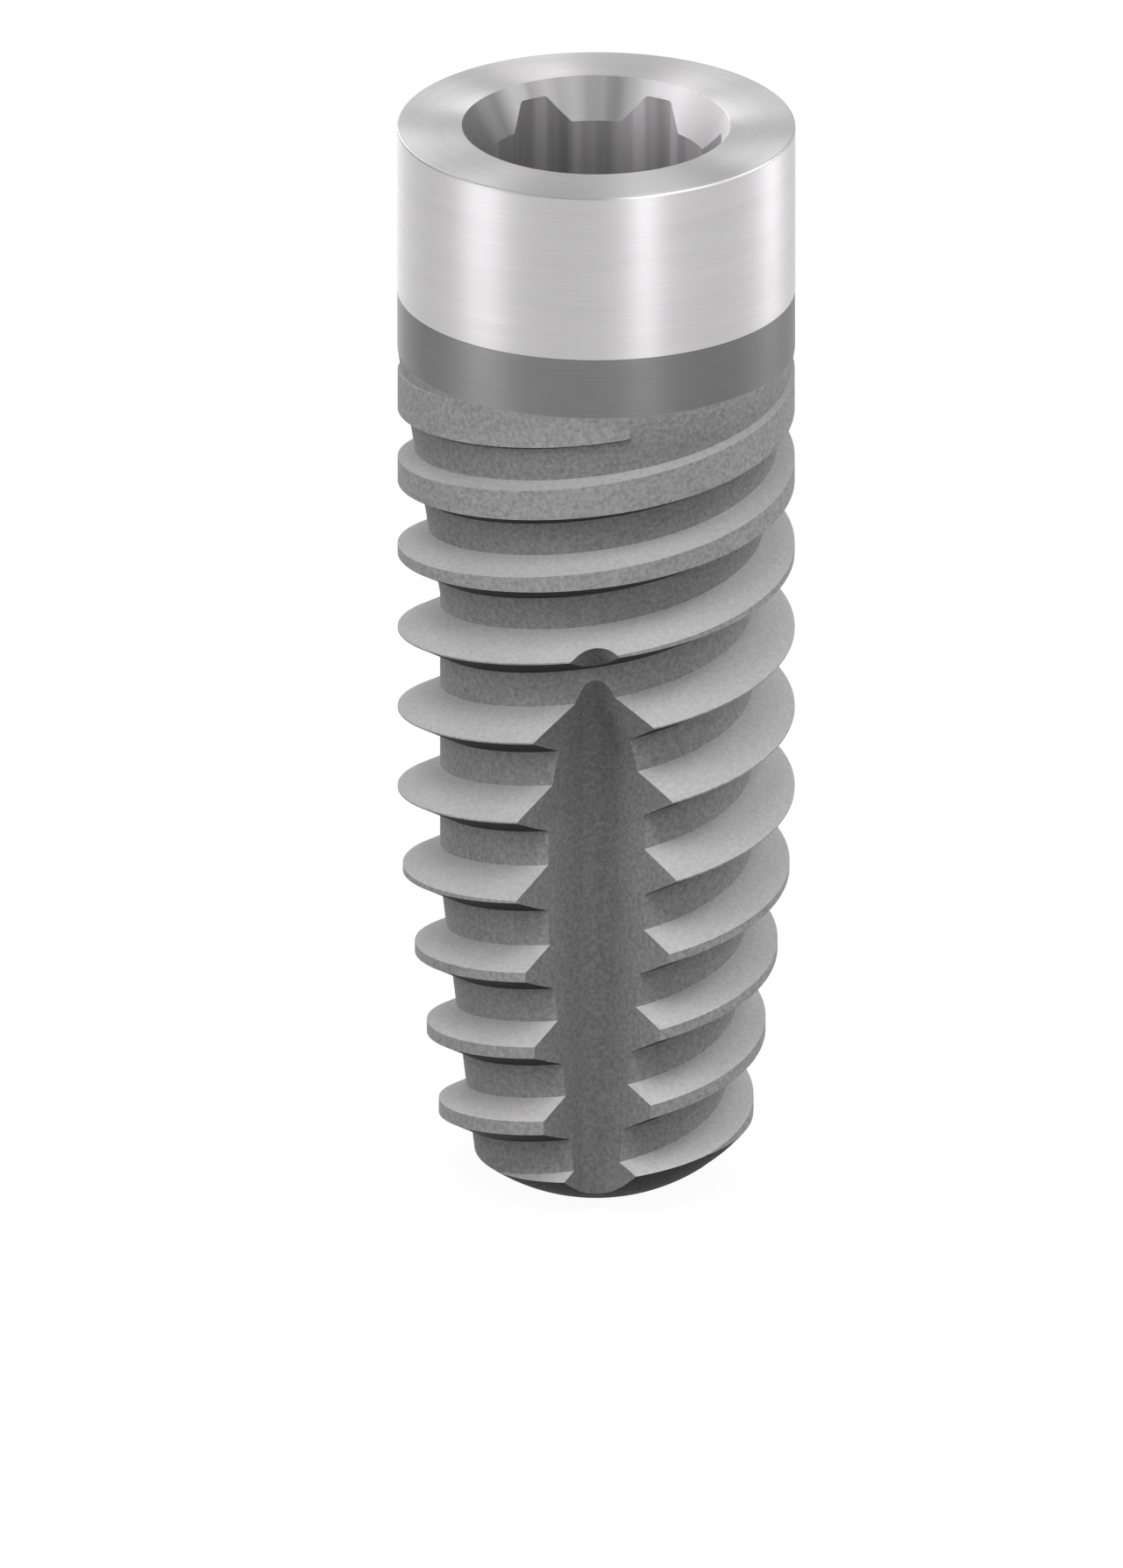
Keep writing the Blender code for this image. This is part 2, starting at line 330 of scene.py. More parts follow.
def make_camera():
    """The parallel camera, looking along +Y and down."""
    camera = add_object("camera", bpy.data.cameras.new("camera"))
    camera.data.type = "ORTHO"
    camera.data.ortho_scale = VIEW_HEIGHT
    camera.data.clip_start = 0.001
    camera.data.clip_end = 2.0
    back = Vector((0.0, -math.cos(VIEW_ELEVATION), math.sin(VIEW_ELEVATION)))
    right = Vector((1.0, 0.0, 0.0))
    up = Vector((0.0, math.sin(VIEW_ELEVATION), math.cos(VIEW_ELEVATION)))
    aim = Vector((0.0, 0.0, PLATFORM_HEIGHT)) - right * PLATFORM_RIGHT - up * PLATFORM_UP
    camera.location = aim + back * VIEW_DISTANCE
    camera.rotation_euler = (math.pi / 2 - VIEW_ELEVATION, 0.0, 0.0)
    bpy.context.scene.camera = camera


def background_rays(tree):
    """1 for rays that see the background itself, 0 for those that carry its light."""
    path = tree.node("ShaderNodeLightPath")
    seen = path.output("Is Camera Ray").at_least(path.output("Is Glossy Ray"))
    return seen.at_least(path.output("Is Transmission Ray"))


def make_world():
    """White where it is seen, and a softer dome of light on the object."""
    world = bpy.data.worlds.new("studio")
    bpy.context.scene.world = world
    world.use_nodes = True
    tree = Tree(world.node_tree)
    strength = DOME_LIGHT + background_rays(tree) * (1.0 - DOME_LIGHT)
    light = tree.node("ShaderNodeBackground", None, {"Color": (1, 1, 1, 1), "Strength": strength})
    tree.node("ShaderNodeOutputWorld", None, {"Surface": light})


def make_floor():
    """A pale floor that shows white and keeps the implant's soft shadow."""
    mesh = bpy.data.meshes.new("floor")
    signs = [(-1, -1), (1, -1), (1, 1), (-1, 1)]
    corners = [(x * FLOOR_REACH, y * FLOOR_REACH, 0.0) for x, y in signs]
    mesh.from_pydata(corners, [], [(0, 1, 2, 3)])
    floor = add_object("floor", mesh)
    material, tree = new_material("floor_card")
    dark = (FLOOR_CARD, FLOOR_CARD, FLOOR_CARD, 1.0)
    card = tree.node("ShaderNodeBsdfDiffuse", None, {"Color": dark})
    glow = {"Color": (1, 1, 1, 1), "Strength": FLOOR_WHITE}
    white = tree.node("ShaderNodeEmission", None, glow)
    seen = tree.node("ShaderNodeAddShader", None, {0: card, 1: white})
    shown = tree.node("ShaderNodeMixShader", None, {0: background_rays(tree), 1: card, 2: seen})
    tree.node("ShaderNodeOutputMaterial", None, {"Surface": shown})
    mesh.materials.append(material)


def add_softbox(name, azimuth, elevation, distance, width, tall, brightness, mirrored):
    """A soft lamp facing the implant's middle."""
    lamp = bpy.data.lights.new(name, "AREA")
    lamp.shape = "RECTANGLE"
    lamp.size = width
    lamp.size_y = tall
    lamp.energy = math.pi * width * tall * brightness
    obj = add_object(name, lamp)
    around = math.radians(azimuth)
    above = math.radians(elevation)
    level = math.cos(above)
    out = Vector((math.sin(around) * level, -math.cos(around) * level, math.sin(above)))
    obj.location = Vector((0.0, 0.0, PLATFORM_HEIGHT / 2)) + out * distance
    obj.rotation_euler = out.to_track_quat("Z", "Y").to_euler()
    obj.visible_glossy = mirrored


# Finishes


def new_material(name):
    """A material and the tree that its nodes are written in."""
    material = bpy.data.materials.new(name)
    material.use_nodes = True
    return material, Tree(material.node_tree)


def grey(level):
    """Titanium's grey, with a trace of violet."""
    return (level, level * 0.982, level * 0.997, 1.0)


def close_material(tree, values):
    """The shader and the output of a finish."""
    shader = tree.node("ShaderNodeBsdfPrincipled", None, values)
    tree.node("ShaderNodeOutputMaterial", None, {"Surface": shader})


def direction(tree, place):
    """Unit vector from the axis towards the place, level with it."""
    return tree.vector_math("NORMALIZE", tree.scaled(place, 1.0, 1.0, 0.0))


def towards(tree, way, azimuth):
    """Cosine of the angle between a level direction and an azimuth; 0 is the camera's side."""
    around = math.radians(azimuth)
    aim = (math.sin(around), -math.cos(around), 0.0)
    return tree.node("ShaderNodeVectorMath", {"operation": "DOT_PRODUCT"}, {0: way, 1: aim}, 1)


def round_the_axis(tree, place, along, across):
    """Coordinates in which noise makes long lines round the axis on a flat ring."""
    flat = tree.scaled(place, 1.0, 1.0, 0.0)
    radius = tree.node("ShaderNodeVectorMath", {"operation": "LENGTH"}, {0: flat}, output=1)
    way = tree.scaled(direction(tree, place), along, along, 0.0)
    return tree.vector_math("ADD", way, tree.combine(z=radius * across))


def collar_finish():
    """Finely turned and polished: long lines round the collar."""
    material, tree = new_material("polished_collar")
    place = tree.node("ShaderNodeTexCoord").output("Object")
    fine = tree.noise(tree.scaled(place, 1800.0, 1800.0, 52000.0), 1.0, 3.0, 0.65)
    broad = tree.noise(tree.scaled(place, 500.0, 500.0, 9000.0), 1.0, 2.0)
    lines = fine * 0.6 + broad * 0.4
    bump = tree.bump(0.25, TURNED_RELIEF, fine)
    close_material(
        tree,
        {
            "Base Color": tree.mix(lines, grey(0.46), grey(0.61)),
            "Metallic": 1.0,
            "Roughness": 0.40 + lines * 0.10,
            "Anisotropic": 0.8,
            "Anisotropic Rotation": 0.25,
            "Normal": bump,
        },
    )
    return material


def platform_finish():
    """Faced on the lathe: rings round the socket's mouth, with painted light that makes the back
    of the ring lighter.
    """
    material, tree = new_material("faced_platform")
    place = tree.node("ShaderNodeTexCoord").output("Object")
    # painted light: the back of the ring takes a lighter copy of the colour
    back = tree.ramp(towards(tree, direction(tree, place), -172.0), (0.0, 0.0), (1.0, 1.0))
    fine = tree.noise(round_the_axis(tree, place, 3.0, 34000.0), 1.0, 3.0, 0.65)
    broad = tree.noise(round_the_axis(tree, place, 1.2, 12000.0), 1.0, 2.0)
    lines = fine * 0.6 + broad * 0.4
    front_shaded_colour = tree.mix(lines, grey(0.31), grey(0.45))
    back_lit_colour = tree.mix(lines, grey(0.385), grey(0.55))
    bump = tree.bump(0.25, TURNED_RELIEF, fine)
    close_material(
        tree,
        {
            "Base Color": tree.mix(back, front_shaded_colour, back_lit_colour),
            "Metallic": 1.0,
            "Roughness": 0.33 + lines * 0.06,
            "Anisotropic": 0.95,
            "Anisotropic Rotation": 0.25,
            "Normal": bump,
        },
    )
    return material


def edge_finish():
    """The polished edge round the platform, with a painted highlight that makes it lighter and
    glossier towards the front right.
    """
    material, tree = new_material("polished_edge")
    place = tree.node("ShaderNodeTexCoord").output("Object")
    # painted highlight: lighter towards the front right
    painted_glint = tree.ramp(towards(tree, direction(tree, place), 32.0), (0.86, 0.0), (0.98, 1.0))
    colour = tree.mix(painted_glint, grey(0.33), grey(0.60))
    close_material(tree, {"Base Color": colour, "Metallic": 1.0, "Roughness": 0.36 - painted_glint * 0.08})
    return material


def chamfer_finish():
    """Turned like the platform, with light and dark streaks running down the cone; painted light
    on the right, a painted glint at the back left and painted shade on the left.
    """
    material, tree = new_material("turned_chamfer")
    place = tree.node("ShaderNodeTexCoord").output("Object")
    way = direction(tree, place)
    streaks = tree.noise(tree.scaled(way, 4.0, 4.0, 0.0), 1.0, 1.5, 0.6)
    fine = tree.noise(tree.scaled(place, 900.0, 900.0, 60000.0), 1.0, 3.0, 0.6)
    # painted light towards the right, painted shade on the left and a painted glint at the back
    # left
    lit = tree.ramp(towards(tree, way, 108.0), (0.45, 0.0), (0.85, 1.0))
    shaded = tree.ramp(towards(tree, way, -103.0), (0.74, 0.0), (0.90, 1.0))
    streaks = tree.ramp(streaks, (0.30, 0.0), (0.70, 1.0))
    glint = tree.ramp(towards(tree, way, -131.0), (0.95, 0.0), (0.99, 1.0))
    colour = tree.mix(streaks, grey(0.175), grey(0.345))
    colour = tree.mix(lit * 0.8, colour, grey(0.66))
    colour = tree.mix(glint * 0.7, colour, grey(0.68))
    colour = tree.mix(shaded * 0.85, colour, grey(0.07))
    bump = tree.bump(0.25, TURNED_RELIEF, fine)
    close_material(
        tree,
        {
            "Base Color": colour,
            "Metallic": 0.8,
            "Roughness": 0.48 + fine * 0.08,
            "Normal": bump,
        },
    )
    return material


def socket_finish():
    """Broached walls: upright bands, darkened with depth by painted shade and lighter on the right
    by painted light, and a turned bore under them.
    """
    material, tree = new_material("broached_socket")
    place = tree.node("ShaderNodeTexCoord").output("Object")
    lines = tree.noise(tree.scaled(place, 14000.0, 14000.0, 200.0), 1.0, 3.0, 0.6)
    bands = tree.noise(tree.scaled(place, 4200.0, 4200.0, 60.0), 1.0, 1.0)
    bands = tree.ramp(bands, (0.36, 0.0), (0.64, 1.0))
    parts = tree.node("ShaderNodeSeparateXYZ", None, {0: place})
    # painted light: the walls on the right side are lighter
    side = parts.output("X") / BOSS_RADIUS
    depth = (PLATFORM_HEIGHT - parts.output("Z")) / SOCKET_DEPTH
    # painted shade: darker with depth down the socket
    dark = tree.ramp(depth, (0.08, 0.0), (0.55, 1.0))
    tone = bands * 0.65 + lines * 0.35 + side * 0.7
    colour = tree.mix(tone, grey(0.40), grey(1.0))
    bump = tree.bump(0.2, TURNED_RELIEF, lines)
    close_material(
        tree,
        {
            "Base Color": tree.mix(dark * 0.5, colour, grey(0.12)),
            "Metallic": 0.7,
            "Roughness": 0.26 + lines * 0.10,
            "Normal": bump,
        },
    )
    return material


def band_finish():
    """Finished by acid etching: darker, with what is left of the turned lines, and a painted
    highlight that is lighter towards the front left.
    """
    material, tree = new_material("etched_band")
    place = tree.node("ShaderNodeTexCoord").output("Object")
    lines = tree.noise(tree.scaled(place, 900.0, 900.0, 60000.0), 1.0, 3.0, 0.6)
    clouds = tree.noise(place, 2600.0, 3.0)
    surface_tone = lines * 0.6 + clouds * 0.4
    # painted highlight: a shaded and a lit copy of the colour, the lit one towards the front left
    way = towards(tree, direction(tree, place), -22.0)
    painted_sheen = tree.ramp(way, (0.0, 0.0), (0.3, 0.38), (0.8, 0.49), (0.97, 0.93))
    band_shaded_colour = tree.mix(surface_tone, grey(0.118), grey(0.166))
    band_lit_colour = tree.mix(surface_tone, grey(0.190), grey(0.266))
    bump = tree.bump(0.2, TURNED_RELIEF, lines)
    close_material(
        tree,
        {
            "Base Color": tree.mix(painted_sheen, band_shaded_colour, band_lit_colour),
            "Metallic": 1.0,
            "Roughness": 0.45 + surface_tone * 0.10,
            "Anisotropic": 0.8,
            "Anisotropic Rotation": 0.25,
            "Normal": bump,
        },
    )
    return material


def thread_finish():
    """Grit-blasted: matt, with a fine speckle of pits all over; painted shade from the mesh
    darkens its faces by where they lie and how they face.
    """
    material, tree = new_material("blasted_thread")
    place = tree.node("ShaderNodeTexCoord").output("Object")
    grit = tree.noise(place, 25000.0, 3.0, 0.65)
    clouds = tree.noise(place, 3200.0, 3.0)
    speckle = tree.ramp(grit, (0.34, 0.0), (0.66, 1.0))
    tone = speckle * 0.8 + clouds * 0.2
    etch = tree.attribute("etch")
    grain = tree.attribute("grain")
    colour = tree.mix(0.5 + (tone - 0.5) * grain, grey(0.395), grey(0.685))
    # painted shade and painted light: each corner's stored darkness mixes the colour towards black
    colour = tree.mix(etch, colour, grey(0.0))
    bump = tree.bump(0.6, BLASTED_RELIEF, grit * grain)
    close_material(
        tree,
        {
            "Base Color": colour,
            "Metallic": 0.0,
            "Roughness": 0.80 - tone * 0.15,
            "Specular IOR Level": 0.2,
            "Normal": bump,
        },
    )
    return material


# Solids that are joined and cut


def turned(name, points):
    """A solid of revolution from (radius, height) points, from its top to its bottom."""
    mesh = bpy.data.meshes.new(name)
    edges = [(i, i + 1) for i in range(len(points) - 1)]
    mesh.from_pydata([(radius, 0.0, z) for radius, z in points], edges, [])
    obj = add_object(name, mesh)
    screw = obj.modifiers.new("turning", "SCREW")
    screw.axis = "Z"
    screw.angle = math.tau
    screw.steps = TURN_STEPS
    screw.render_steps = TURN_STEPS
    screw.use_merge_vertices = True
    screw.merge_threshold = AXIS_MERGE
    return obj


def rounded_corner(radius, z, size, first, last):
    """Points round a turned edge of that size, its centre at (radius, z)."""
    angles = [first + (last - first) * i / EDGE_STEPS for i in range(EDGE_STEPS + 1)]
    return [(radius + size * math.cos(a), z + size * math.sin(a)) for a in angles]


def root_radius(depth):
    """Radius of the thread's root at a depth."""
    cone = (depth - BAND_DEPTH) / ROOT_CONE_LENGTH
    if cone < 1.0:
        return BAND_RADIUS + (ROOT_RADIUS - BAND_RADIUS) * max(cone, 0.0)
    return ROOT_RADIUS - ROOT_TAPER_SLOPE * max(depth - ROOT_TAPER_DEPTH, 0.0)


def crest_radius(depth):
    """Radius of the turned envelope that the ridges reach at a depth."""
    return CREST_RADIUS - CREST_TAPER_SLOPE * max(depth - CREST_TAPER_DEPTH, 0.0)


def turned_core():
    """Collar, band and the root of the thread, running on past the apex."""
    edge = PLATFORM_EDGE_BREAK
    foot = APEX_DEPTH + SPARE
    points = [(0.0, height(0.0))]
    points += rounded_corner(BODY_RADIUS - edge, height(edge), edge, math.pi / 2, 0.0)
    points += [
        (BODY_RADIUS, height(COLLAR_DEPTH)),
        (BAND_RADIUS, height(COLLAR_DEPTH + BAND_RECESS)),
        (BAND_RADIUS, height(BAND_DEPTH)),
        (ROOT_RADIUS, height(BAND_DEPTH + ROOT_CONE_LENGTH)),
        (ROOT_RADIUS, height(ROOT_TAPER_DEPTH)),
        (root_radius(foot), height(foot)),
        (0.0, height(foot)),
    ]
    return turned("turned_core", points)


def apex_dome():
    """The blank that the thread is trimmed to: open-sided above, domed at the apex."""
    outer = BODY_RADIUS + SPARE
    first = math.acos(APEX_FLAT_RADIUS / DOME_RADIUS)
    points = [
        (0.0, height(-SPARE)),
        (outer, height(-SPARE)),
        (outer, height(DOME_CENTRE_DEPTH)),
    ]
    for i in range(DOME_STEPS + 1):
        angle = first * i / DOME_STEPS
        depth = DOME_CENTRE_DEPTH + DOME_RADIUS * math.sin(angle)
        points.append((DOME_RADIUS * math.cos(angle), height(depth)))
    points.append((0.0, height(APEX_DEPTH)))
    return turned("apex_dome", points)


def screw_bore():
    """Mouth chamfer, relief under the socket and the blind hole for the screw's thread."""
    relief_foot = SOCKET_DEPTH + RELIEF_LENGTH
    shoulder = (RELIEF_RADIUS - SCREW_BORE_RADIUS) / math.tan(DRILL_POINT_ANGLE)
    point = SCREW_BORE_RADIUS / math.tan(DRILL_POINT_ANGLE)
    edge = MOUTH_EDGE_BREAK
    points = [(0.0, height(-SPARE)), (MOUTH_RADIUS + edge, height(-SPARE))]
    points += [(MOUTH_RADIUS + edge, height(0.0)), (MOUTH_RADIUS, height(edge / 2))]
    points += [
        (RELIEF_RADIUS, height((MOUTH_RADIUS - RELIEF_RADIUS) * MOUTH_CHAMFER_SLOPE)),
        (RELIEF_RADIUS, height(relief_foot)),
        (SCREW_BORE_RADIUS, height(relief_foot + shoulder)),
        (SCREW_BORE_RADIUS, height(SCREW_BORE_DEPTH)),
        (0.0, height(SCREW_BORE_DEPTH + point)),
    ]
    return turned("screw_bore", points)


def ridge_tree():
    """Geometry nodes that wind the ridges of a screw thread, one for each start."""
    group = bpy.data.node_groups.new("thread_ridges", "GeometryNodeTree")
    sizes = [
        "Band Radius",
        "Root Radius",
        "Cone Top",
        "Cone Length",
        "Root Taper Top",
        "Root Taper Slope",
        "Crest Radius",
        "Crest Taper Top",
        "Crest Taper Slope",
        "Crest Land",
        "Flank Slope",
        "Lead",
        "Turns",
        "First Depth",
        "First Angle",
        "Platform Height",
        "Buried",
    ]
    for name in sizes:
        group.interface.new_socket(name, in_out="INPUT", socket_type="NodeSocketFloat")
    for name in ("Starts", "Sections"):
        group.interface.new_socket(name, in_out="INPUT", socket_type="NodeSocketInt")
    group.interface.new_socket("Finish", in_out="INPUT", socket_type="NodeSocketMaterial")
    group.interface.new_socket("Ridges", in_out="OUTPUT", socket_type="NodeSocketGeometry")
    tree = Tree(group)
    given = tree.node("NodeGroupInput")

    # A straight bar, cut into sections along X, with its crest at +Y
    bar = tree.node(
        "GeometryNodeMeshCube",
        None,
        {"Size": (1, 1, 1), "Vertices X": given.output("Sections")},
    )
    place = tree.node("ShaderNodeSeparateXYZ", None, {0: tree.node("GeometryNodeInputPosition")})
    gone = (place.output("X") + 0.5) * given.output("Turns")
    outward = place.output("Y") + 0.5
    below = place.output("Z") * 2.0

    # Radii of the root and the crest at the depth that the ridge has reached
    depth = given.output("First Depth") + gone * given.output("Lead")
    cone = (depth - given.output("Cone Top")) / given.output("Cone Length")
    cone = cone.at_least(0.0).at_most(1.0)
    root = given.output("Band Radius")
    root = root + (given.output("Root Radius") - root) * cone
    tapered = (depth - given.output("Root Taper Top")).at_least(0.0)
    root = root - tapered * given.output("Root Taper Slope")
    tapered = (depth - given.output("Crest Taper Top")).at_least(0.0)
    crest = given.output("Crest Radius") - tapered * given.output("Crest Taper Slope")

    # Half widths at the crest and at the buried foot
    full = given.output("Crest Radius") - given.output("Root Radius")
    land = given.output("Crest Land") * 0.5
    at_crest = land + (full - (crest - root)) * given.output("Flank Slope")
    at_foot = land + (full + given.output("Buried")) * given.output("Flank Slope")
    foot = root - given.output("Buried")
    radius = foot + (crest - foot) * outward
    half = at_foot + (at_crest - at_foot) * outward

    # Wound round the axis, each start turned on from the one before
    angle = given.output("First Angle") - gone * math.tau
    wound = tree.combine(
        radius * angle.math("COSINE"),
        radius * angle.math("SINE"),
        given.output("Platform Height") - depth - below * half,
    )
    ridge = tree.node("GeometryNodeSetPosition", None, {"Geometry": bar, "Position": wound})
    ridge = tree.node("GeometryNodeFlipFaces", None, {"Mesh": ridge})
    starts = tree.node(
        "GeometryNodeMeshLine", None, {"Count": given.output("Starts"), "Offset": (0, 0, 0)}
    )
    step = math.tau / given.output("Starts")
    turn = tree.combine(z=tree.node("GeometryNodeInputIndex") * step)
    spun = tree.node(
        "GeometryNodeInstanceOnPoints",
        None,
        {"Points": starts, "Instance": ridge, "Rotation": turn},
    )
    solid = tree.node("GeometryNodeRealizeInstances", None, {"Geometry": spun})
    finished = tree.node(
        "GeometryNodeSetMaterial", None, {"Geometry": solid, "Material": given.output("Finish")}
    )
    tree.node("NodeGroupOutput", None, {"Ridges": finished})
    return group


def wound_ridges(name, group, sizes):
    """A mesh of ridges from the tree, at the given sizes."""
    obj = add_object(name, bpy.data.meshes.new(name))
    winding = obj.modifiers.new("winding", "NODES")
    winding.node_group = group
    for item in group.interface.items_tree:
        if item.name in sizes:
            winding[item.identifier] = sizes[item.name]
    made = plain_mesh(obj)
    obj.modifiers.clear()
    obj.data = made
    return obj


def plain_mesh(obj):
    """The object's shape with all its modifiers worked in."""
    bpy.context.view_layer.update()
    evaluated = obj.evaluated_get(bpy.context.evaluated_depsgraph_get())
    mesh = bpy.data.meshes.new_from_object(evaluated)
    mesh.name = obj.name
    return mesh


def bone_thread(group, finish):
    """The two ridges that cut the bone."""
    turns = (TIP_DEPTH + THREAD_PITCH / 2 - THREAD_TOP_DEPTH) / THREAD_LEAD
    steps = math.ceil(turns * TURN_STEPS)
    sizes = {
        "Band Radius": BAND_RADIUS,
        "Root Radius": ROOT_RADIUS,
        "Cone Top": BAND_DEPTH,
        "Cone Length": ROOT_CONE_LENGTH,
        "Root Taper Top": ROOT_TAPER_DEPTH,
        "Root Taper Slope": ROOT_TAPER_SLOPE,
        "Crest Radius": CREST_RADIUS,
        "Crest Taper Top": CREST_TAPER_DEPTH,
        "Crest Taper Slope": CREST_TAPER_SLOPE,
        "Crest Land": CREST_LAND,
        "Flank Slope": FLANK_SLOPE,
        "Lead": THREAD_LEAD,
        "Turns": steps / TURN_STEPS,
        "First Depth": THREAD_TOP_DEPTH,
        "First Angle": THREAD_TOP_ANGLE,
        "Platform Height": PLATFORM_HEIGHT,
        "Buried": SPARE,
        "Starts": THREAD_STARTS,
        "Sections": steps + 1,
        "Finish": finish,
    }
    return wound_ridges("bone_thread", group, sizes)


def screw_thread(group, finish):
    """The grooves that the retaining screw's thread runs in, as a solid to cut with."""
    first = SOCKET_DEPTH + RELIEF_LENGTH - SCREW_THREAD_PITCH
    steps = math.ceil(SCREW_THREAD_LENGTH / SCREW_THREAD_PITCH * SCREW_TURN_STEPS)
    root = SCREW_BORE_RADIUS - SCREW_THREAD_FOOT
    sizes = {
        "Band Radius": root,
        "Root Radius": root,
        "Cone Top": 0.0,
        "Cone Length": 1.0,
        "Root Taper Top": 1.0,
        "Root Taper Slope": 0.0,
        "Crest Radius": SCREW_THREAD_RADIUS,
        "Crest Taper Top": 1.0,
        "Crest Taper Slope": 0.0,
        "Crest Land": SCREW_THREAD_PITCH / 8,
        "Flank Slope": SCREW_FLANK_SLOPE,
        "Lead": SCREW_THREAD_PITCH,
        "Turns": steps / SCREW_TURN_STEPS,
        "First Depth": first,
        "First Angle": 0.0,
        "Platform Height": PLATFORM_HEIGHT,
        "Buried": SPARE / 4,
        "Starts": 1,
        "Sections": steps + 1,
        "Finish": finish,
    }
    return wound_ridges("screw_thread", group, sizes)


def loft(shape, sections):
    """Add a closed solid through sections of equal point count, capped at both ends."""
    rings = [[shape.verts.new(point) for point in section] for section in sections]
    count = len(rings[0])
    for ring, following in zip(rings, rings[1:]):
        for i in range(count):
            j = (i + 1) % count
            shape.faces.new((ring[i], ring[j], following[j], following[i]))
    shape.faces.new(rings[0])
    shape.faces.new(rings[-1])


def to_object(shape, name):
    """Turn a finished shape's faces outwards and make it an object."""
    bmesh.ops.recalc_face_normals(shape, faces=shape.faces)
    mesh = bpy.data.meshes.new(name)
    shape.to_mesh(mesh)
    shape.free()
    return add_object(name, mesh)


def flute_section():
    """The groove's section as (across, outward) points, from its floor to clear of the body."""
    reach = BODY_RADIUS + SPARE - FLUTE_FLOOR_RADIUS
    spread = math.pi / 2 - FLUTE_HALF_ANGLE
    nose = []
    for i in range(NOSE_STEPS + 1):
        angle = spread * (2.0 * i / NOSE_STEPS - 1.0)
        across = FLUTE_NOSE_RADIUS * math.sin(angle)
        nose.append((across, FLUTE_NOSE_RADIUS * (1.0 - math.cos(angle))))
    edge = nose[-1][0] + (reach - nose[-1][1]) * math.tan(FLUTE_HALF_ANGLE)
    return [(-edge, reach), *nose, (edge, reach)]


def tapping_flute(number):
    """A straight groove that lifts out of the body along an arc at its top."""
    section = flute_section()
    arc_centre = FLUTE_FLOOR_RADIUS + FLUTE_RUNOUT_RADIUS
    rise = BODY_RADIUS + SPARE - FLUTE_FLOOR_RADIUS
    last = math.acos(1.0 - rise / FLUTE_RUNOUT_RADIUS)
    foot = height(TIP_DEPTH + SPARE)
    sections = [[Vector((a, -(FLUTE_FLOOR_RADIUS + out), foot)) for a, out in section]]
    for i in range(RUNOUT_STEPS + 1):
        angle = last * i / RUNOUT_STEPS
        ring = []
        for across, outward in section:
            radius = FLUTE_RUNOUT_RADIUS - outward
            y = -(arc_centre - radius * math.cos(angle))
            z = height(FLUTE_RUNOUT_DEPTH) + radius * math.sin(angle)
            ring.append(Vector((across, y, z)))
        sections.append(ring)
    shape = bmesh.new()
    loft(shape, sections)
    bmesh.ops.rotate(
        shape, verts=shape.verts, matrix=Matrix.Rotation(math.tau * number / FLUTE_COUNT, 3, "Z")
    )
    return to_object(shape, f"tapping_flute_{number + 1}")


def arc_points(radius, middle, half_angle, steps):
    """Points along an arc round the axis, as (x, y)."""
    angles = [middle + half_angle * (2.0 * i / steps - 1.0) for i in range(steps + 1)]
    return [(radius * math.cos(angle), radius * math.sin(angle)) for angle in angles]


def drive_socket():
    """The lobed prism, with a boss facing -Y and its upright corners rounded."""
    outline = []
    for i in range(LOBE_COUNT):
        boss = math.tau * i / LOBE_COUNT - math.pi / 2
        lobe = boss + math.pi / LOBE_COUNT
        outline += arc_points(BOSS_RADIUS, boss, BOSS_HALF_ANGLE, BOSS_STEPS)
        outline += arc_points(LOBE_RADIUS, lobe, LOBE_HALF_ANGLE, LOBE_STEPS)
    sections = [
        [Vector((x, y, height(depth))) for x, y in outline] for depth in (SOCKET_DEPTH, -SPARE)
    ]
    shape = bmesh.new()
    loft(shape, sections)
    bmesh.ops.recalc_face_normals(shape, faces=shape.faces)
    corners = [
        edge
        for edge in shape.edges
        if abs(edge.verts[0].co.z - edge.verts[1].co.z) > SPARE
        and edge.calc_face_angle() > SHARP_ANGLE
    ]
    bmesh.ops.bevel(
        shape,
        geom=corners,
        offset=SOCKET_CORNER_RADIUS,
        offset_type="OFFSET",
        segments=CORNER_STEPS,
        profile=0.5,
        affect="EDGES",
    )
    return to_object(shape, "drive_socket")


def combine(target, tool, operation):
    """Join, cut or trim the target with a tool."""
    boolean = target.modifiers.new(tool.name, "BOOLEAN")
    boolean.operation = operation
    boolean.solver = "MANIFOLD"
    boolean.object = tool


# The implant

FINISHES = [
    collar_finish,
    platform_finish,
    chamfer_finish,
    socket_finish,
    band_finish,
    thread_finish,
    edge_finish,
]
COLLAR, PLATFORM, CHAMFER, SOCKET, BAND, THREAD, EDGE = range(len(FINISHES))


def finish_of(face):
    """Which finish a face has, by its place and the way that it faces."""
    depth = PLATFORM_HEIGHT - face.center.z
    outward = Vector((face.center.x, face.center.y, 0.0))
    inward = face.normal.dot(outward.normalized()) < 0.1
    if inward and outward.length < MOUTH_RADIUS + SPARE and depth < APEX_DEPTH - SPARE:
        if depth < MOUTH_EDGE_BREAK / 4:
            return PLATFORM
        return CHAMFER if face.normal.z > 0.3 and depth < SOCKET_DEPTH / 2 else SOCKET
    if depth < SAME_PLACE / 2:
        return PLATFORM
    if depth < PLATFORM_EDGE_BREAK:
        return EDGE
    if depth < COLLAR_DEPTH:
        return COLLAR
    return BAND if depth < BAND_DEPTH else THREAD


